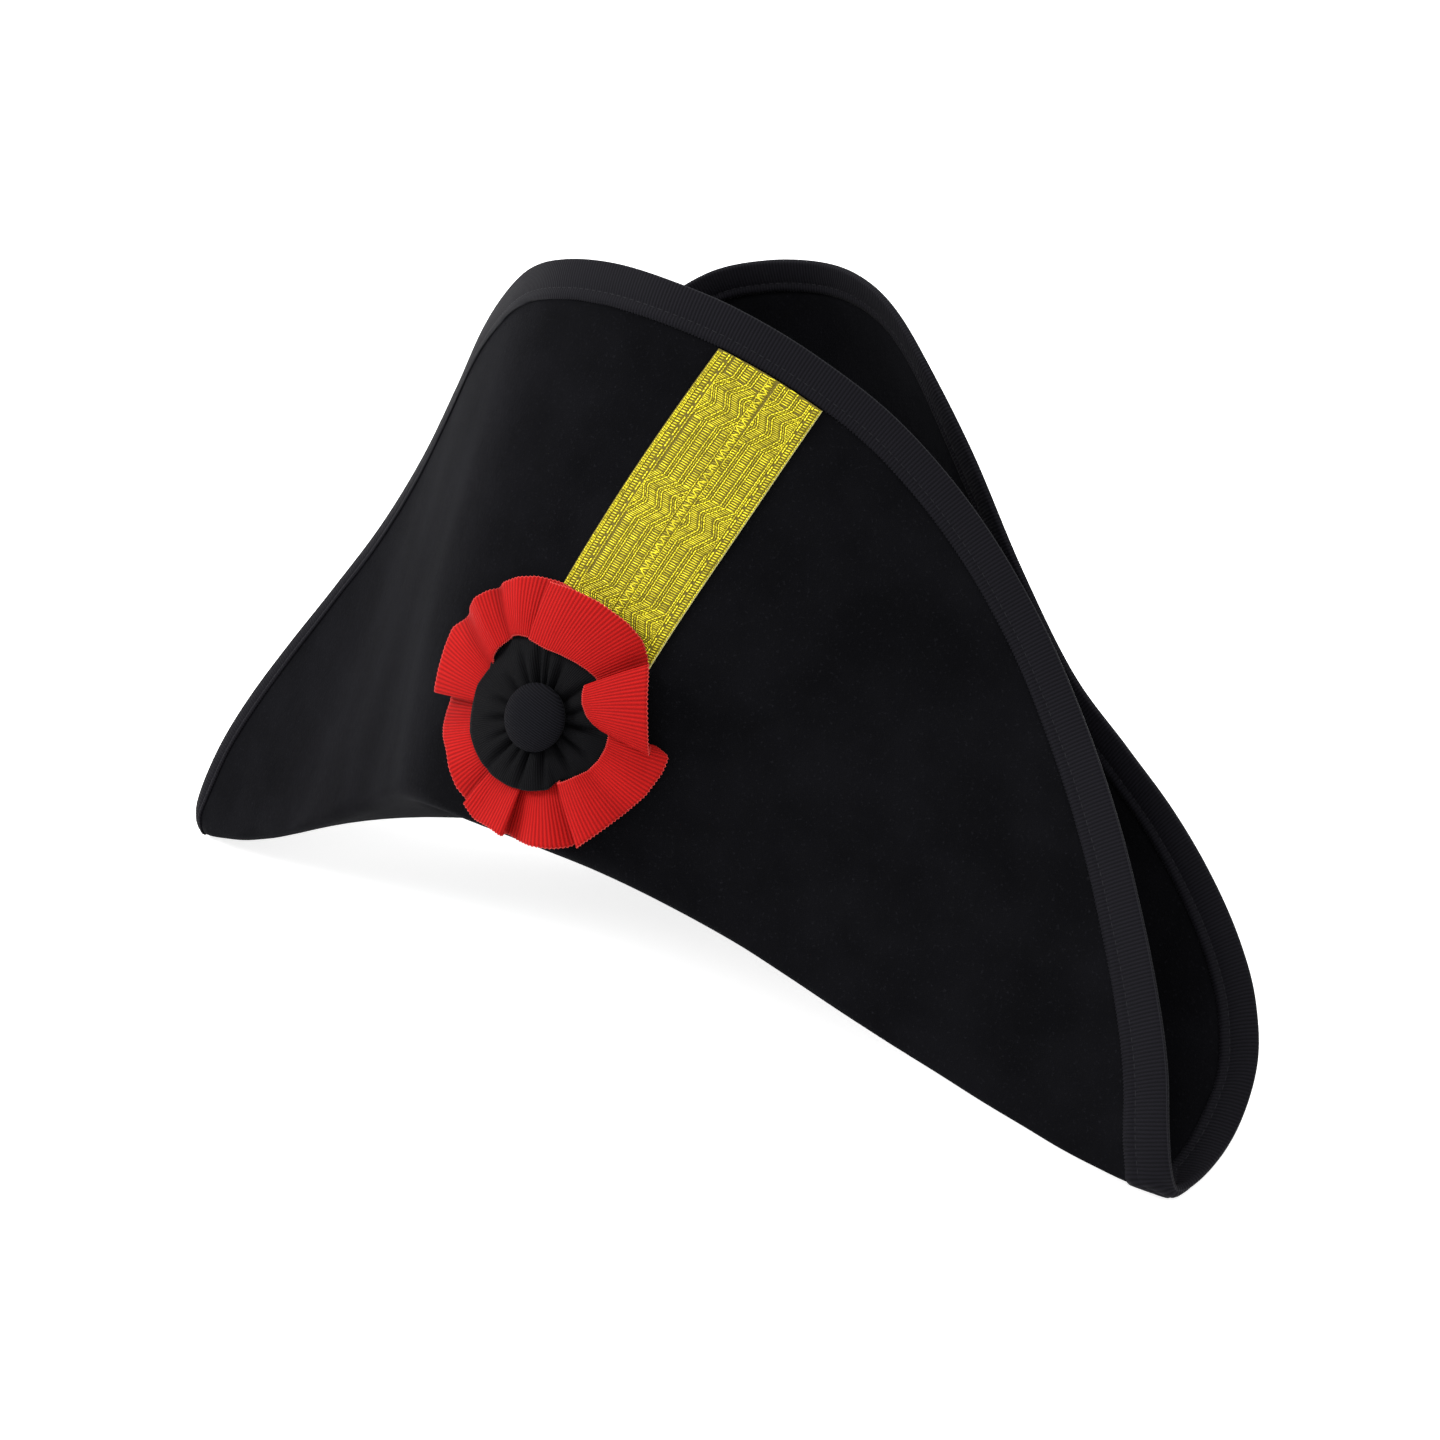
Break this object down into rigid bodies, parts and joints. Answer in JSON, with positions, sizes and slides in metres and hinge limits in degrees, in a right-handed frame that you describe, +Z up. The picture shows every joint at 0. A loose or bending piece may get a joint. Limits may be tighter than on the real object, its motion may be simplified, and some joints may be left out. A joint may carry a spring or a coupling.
{
  "type": "bicorne hat",
  "caption": "Black felt bicorne hat with two turned-up flaps, bound edge, slanting gold braid and a ruffled ribbon cockade.",
  "frame": {"origin": "on the table, under the middle of the hat's bounding box, with the hat leaned back as it lies by itself", "axes": "+X from the left horn to the right horn as seen from the front, -Y towards the cockade's side, +Z up"},
  "size_m": [0.5096, 0.223, 0.2749],
  "materials": {
    "felt": "matt brushed wool felt",
    "grosgrain_black": "ribbed ribbon",
    "galon_gold": "woven braid with a soft metallic sheen",
    "grosgrain_red": "ribbed ribbon",
    "ribbon_black": "fine ribbed ribbon",
    "button_cloth": "fine twill"
  },
  "bodies": {
    "root": {"felt_body": "felt", "edge_binding": "grosgrain_black", "galon_strap": "galon_gold", "cockade_red_ruffle": "grosgrain_red", "cockade_black_ruffle": "ribbon_black", "cockade_button": "button_cloth"}
  },
  "joints": []
}
